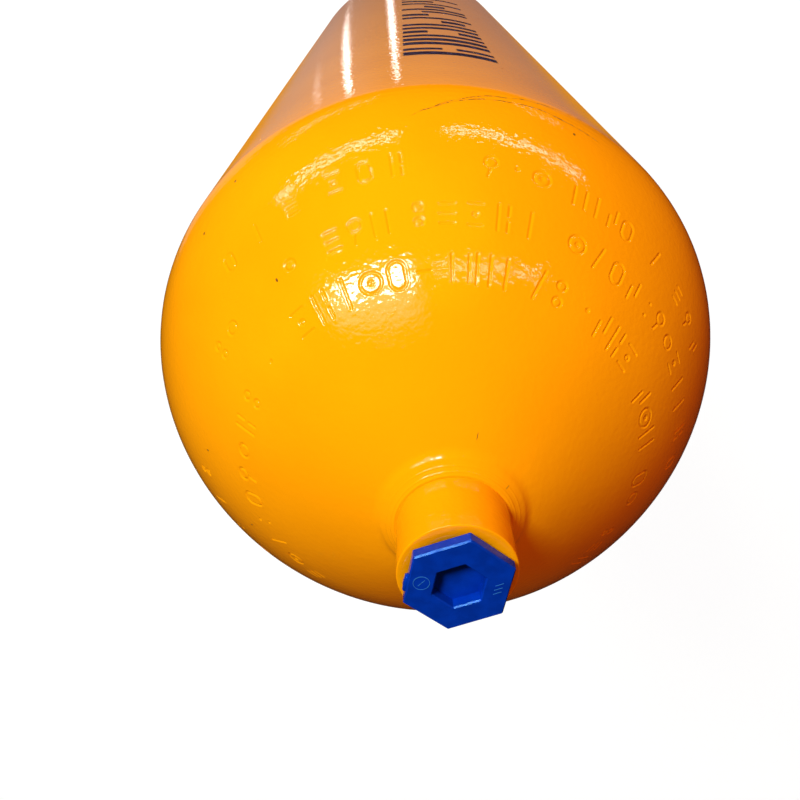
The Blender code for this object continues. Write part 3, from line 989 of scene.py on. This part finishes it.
SENSOR_WIDTH = 36.0
LENS = 37.08
SHIFT_X = -0.0707
SHIFT_Y = 0.0251
CAMERA_PLACE = Vector((0, -0.1993, NECK_FACE_Z + 0.2226))
CAMERA_FORWARD = Vector((-0.0150, 0.5192, -0.8545)).normalized()
CAMERA_UP = Vector((-0.0693, -1.0, 0.0))

FLOOR_SIZE = 12.0
FLOOR_GAP = 0.0003
FLOOR_COLOUR = (0.12, 0.12, 0.12, 1.0)
FLOOR_GLOW = (0.97, 0.99, 1.0, 1.0)
FLOOR_GLOW_POWER = 0.97

# The key light's heading turns from -Y towards +X, and its rise is from the level
KEY_TARGET = Vector((0, 0, SHOULDER_Z + 0.07))
KEY_HEADING = math.radians(26)
KEY_RISE = math.radians(34)
KEY_DISTANCE = 2.3
BACK_TARGET = Vector((0, 0, 0.30))
BACK_PLACE = Vector((1.3, 2.2, 0.45))

# Distant lamps that only gloss shows, each a soft-edged box in two ratios of the direction:
# low and high first ratio, low and high second ratio, lean of the first, lean of the second, softness, power.
# Below the cylinder the ratios are x and y over depth; in front of it they are x and height over distance.
LAMPS_BELOW = [
    (0.1110, 0.1200, -0.150, -0.030, 0.16, 0.0, 0.003, 4.0),
    (0.0290, 0.0370, -0.155, -0.040, 0.00, 0.0, 0.003, 4.0),
    (0.1870, 0.1900, -0.080, -0.040, 0.00, 0.0, 0.002, 3.0),
    (0.1800, 0.7500, -0.823, -0.814, 0.00, 0.0, 0.004, 8.0),
    (-0.8500, -0.5000, -0.835, -0.826, 0.00, 0.0, 0.004, 8.0),
]
LAMPS_IN_FRONT = [
    (0.10, 1.02, -0.362, -0.326, 0.0, 0.035, 0.006, 10.0),
    (-1.22, -0.13, -0.362, -0.326, 0.0, -0.120, 0.006, 9.0),
    (0.14, 0.85, 0.440, 0.560, 0.0, 0.0, 0.030, 40.0),
    (0.15, 1.05, 0.480, 0.760, 0.0, 0.0, 0.140, 2.6),
    (-1.10, -0.02, 0.464, 0.480, 0.0, 0.0, 0.006, 14.0),
]
LAMP_COLOUR = (1.0, 0.96, 0.92, 1.0)
LEAST_DEPTH = 0.05  # keeps the ratios finite
FACING = -0.1  # the lamps of a side show where z or y is less than this

# Surroundings that gloss shows, as (low, high, softness) of the two ratios below the cylinder
DARK_ROOM = (0.010, 0.008, 0.006, 1.0)
HAZE_ACROSS = (-0.45, 0.75, 0.08)
HAZE_BEHIND = (-0.38, 0.13, 0.05)
HAZE_TURN = (0.04, 0.16)  # ratio across, over which its colour turns to the right one
HAZE_LEFT = (0.35, 0.195, 0.14, 1.0)
HAZE_RIGHT = (0.45, 0.29, 0.25, 1.0)
RIM_ACROSS = (-0.30, 0.30, 0.05)
RIM_BEHIND = (0.085, 0.40, 0.035)
RIM_COLOUR = (0.68, 0.27, 0.02, 1.0)

# Surroundings that shade the object
LEFT_X = -0.85
LEFT_Y = -0.52
LEFT_START = -0.2
SHADE_DIM = (0.13, 0.034, 0.012, 1.0)
SHADE_LEFT = (0.80, 0.29, 0.10, 1.0)
SHADE_RIGHT = (0.42, 0.15, 0.012, 1.0)
WHITE = (1.0, 1.0, 1.0, 1.0)


def add_camera():
    """Looks down over the neck along the cylinder, at the photograph's angle."""
    data = bpy.data.cameras.new("camera")
    data.sensor_width = SENSOR_WIDTH
    data.lens = LENS
    data.shift_x = SHIFT_X
    data.shift_y = SHIFT_Y
    data.clip_start = 0.01
    camera = bpy.data.objects.new("camera", data)
    bpy.context.scene.collection.objects.link(camera)
    up = (CAMERA_UP - CAMERA_UP.dot(CAMERA_FORWARD) * CAMERA_FORWARD).normalized()
    rotation = Matrix((CAMERA_FORWARD.cross(up), up, -CAMERA_FORWARD)).transposed()
    camera.matrix_world = Matrix.Translation(CAMERA_PLACE) @ rotation.to_4x4()
    bpy.context.scene.camera = camera


def add_floor():
    bm = bmesh.new()
    bmesh.ops.create_grid(bm, x_segments=2, y_segments=2, size=FLOOR_SIZE)
    material, nodes = new_material("pale_floor")
    finish_material(nodes, {
        "Base Color": FLOOR_COLOUR, "Roughness": 0.9,
        "Emission Color": FLOOR_GLOW, "Emission Strength": FLOOR_GLOW_POWER,
    })
    floor = make_piece("floor", bm, [material])
    floor.location.z = -FLOOR_GAP
    floor.visible_glossy = False
    floor.visible_diffuse = False


def add_light(name, kind, location, target, settings):
    """A light aimed at the target. It shades the object and shows in no gloss."""
    data = bpy.data.lights.new(name, kind)
    for setting, value in settings.items():
        setattr(data, setting, value)
    light = bpy.data.objects.new(name, data)
    light.location = location
    light.rotation_euler = (location - target).to_track_quat("Z", "Y").to_euler()
    light.visible_camera = False
    light.visible_glossy = False
    bpy.context.scene.collection.objects.link(light)


def add_lights():
    """A soft key light on the shoulder, and a light on the back of the straight wall."""
    level = math.cos(KEY_RISE)
    direction = Vector((level * math.sin(KEY_HEADING), -level * math.cos(KEY_HEADING), math.sin(KEY_RISE)))
    add_light("key", "AREA", KEY_TARGET + KEY_DISTANCE * direction, KEY_TARGET, {
        "shape": "SQUARE", "size": 0.55, "energy": 84, "color": (0.77, 1.0, 0.80),
    })
    add_light("back", "SPOT", BACK_PLACE, BACK_TARGET, {
        "energy": 330, "color": (1.0, 0.92, 0.84),
        "shadow_soft_size": 0.25, "spot_size": math.radians(32), "spot_blend": 1.0,
    })


def ratio_box(nodes, first, first_band, second, second_band):
    """1 where both ratios lie in their bands, given as (low, high, softness)."""
    return nodes.math("MULTIPLY", nodes.between(first, *first_band), nodes.between(second, *second_band))


def lamp_glow(nodes, first, second, gate, lamps):
    """All the lamps on one side, which the gate lets through."""
    glows = []
    for low_first, high_first, low_second, high_second, first_lean, second_lean, soft, power in lamps:
        across = nodes.math("ADD", first, nodes.math("MULTIPLY", second, first_lean))
        along = nodes.math("ADD", second, nodes.math("MULTIPLY", first, second_lean))
        box = ratio_box(nodes, across, (low_first, high_first, soft), along, (low_second, high_second, soft))
        glows.append(nodes.math("MULTIPLY", box, power))
    return nodes.math("MULTIPLY", nodes.math("ADD", *glows), gate)


def gloss_surroundings(nodes, x, y, z):
    """What gloss shows: a dark room with a warm haze below the object, and the lamps."""
    depth = nodes.math("MAXIMUM", nodes.math("MULTIPLY", z, -1.0), LEAST_DEPTH)
    across = nodes.math("DIVIDE", x, depth)
    behind = nodes.math("DIVIDE", y, depth)
    below = nodes.math("LESS_THAN", z, FACING)
    distance = nodes.math("MAXIMUM", nodes.math("MULTIPLY", y, -1.0), LEAST_DEPTH)
    sideways = nodes.math("DIVIDE", x, distance)
    rise = nodes.math("DIVIDE", z, distance)
    in_front = nodes.math("LESS_THAN", y, FACING)
    lamps_below = lamp_glow(nodes, across, behind, below, LAMPS_BELOW)
    lamps_in_front = lamp_glow(nodes, sideways, rise, in_front, LAMPS_IN_FRONT)
    lamps = nodes.math("ADD", lamps_below, lamps_in_front)
    haze = ratio_box(nodes, across, HAZE_ACROSS, behind, HAZE_BEHIND)
    haze_colour = nodes.mix(nodes.remap(across, *HAZE_TURN), HAZE_LEFT, HAZE_RIGHT)
    colour = nodes.mix(nodes.math("MULTIPLY", haze, below), DARK_ROOM, haze_colour)
    rim = ratio_box(nodes, across, RIM_ACROSS, behind, RIM_BEHIND)
    colour = nodes.mix(nodes.math("MULTIPLY", rim, below), colour, RIM_COLOUR)
    room = nodes.add("ShaderNodeBackground", {"Color": colour})
    glow = nodes.add("ShaderNodeBackground", {"Color": LAMP_COLOUR, "Strength": lamps})
    return nodes.add("ShaderNodeAddShader", {0: room, 1: glow})


def soft_surroundings(nodes, x, y):
    """What shades the object: dim and warm, brighter from the left and the right."""
    left = nodes.math("ADD", nodes.math("MULTIPLY", x, LEFT_X), nodes.math("MULTIPLY", y, LEFT_Y))
    shade = nodes.mix(nodes.remap(left, LEFT_START, 1.0), SHADE_DIM, SHADE_LEFT)
    shade = nodes.mix(nodes.remap(x, 0.0, 1.0), shade, SHADE_RIGHT)
    return nodes.add("ShaderNodeBackground", {"Color": shade})


def add_world():
    """White behind the object, dim warm surroundings for its shading and lamps for its gloss."""
    world = bpy.data.worlds.new("studio")
    bpy.context.scene.world = world
    world.use_nodes = True
    world.node_tree.nodes.clear()
    nodes = Nodes(world.node_tree)
    x, y, z = nodes.separate(nodes.add("ShaderNodeTexCoord", output=0))
    gloss = gloss_surroundings(nodes, x, y, z)
    soft = soft_surroundings(nodes, x, y)
    plain = nodes.add("ShaderNodeBackground", {"Color": WHITE})
    path = nodes.tree.nodes.new("ShaderNodeLightPath")
    seen = nodes.add("ShaderNodeMixShader", {0: path.outputs["Is Glossy Ray"], 1: soft, 2: gloss})
    seen = nodes.add("ShaderNodeMixShader", {0: path.outputs["Is Camera Ray"], 1: seen, 2: plain})
    nodes.add("ShaderNodeOutputWorld", {"Surface": seen})


def main():
    bpy.context.scene.view_settings.view_transform = "Standard"
    add_camera()
    add_floor()
    add_lights()
    add_world()

    paint = paint_material()
    steel = steel_material()
    blue = plastic_material("blue_moulding", BLUE_DARK, BLUE_LIGHT, BLUE_ROUGHNESS)
    pale_and_mark_highlight = plastic_material("pale_moulding_and_mark_highlight", PALE_AND_MARK_HIGHLIGHT_DARK, PALE_AND_MARK_HIGHLIGHT_LIGHT, PALE_ROUGHNESS)

    shell = make_shell([paint, steel])
    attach(shell, "cylinder")
    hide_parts("cylinder_shell")

    washer = make_washer([pale_and_mark_highlight])
    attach(washer, "washer")
    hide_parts("sealing_washer")

    head = make_plug_head([blue])
    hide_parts("transport_plug")
    plug_pieces = [
        head,
        make_plug_shank([blue]),
        make_gate_lug([blue]),
    ]
    # The moulded marks take the pale material as a painted highlight on the head's face
    mould_marks = [make_mould_ring([pale_and_mark_highlight])]
    for number, bar in enumerate(MOULD_BARS, 1):
        mould_marks.append(make_mould_bar(f"plug_mould_bar_{number}", [pale_and_mark_highlight], *bar))
    for piece in plug_pieces + mould_marks:
        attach(piece, "plug")


main()
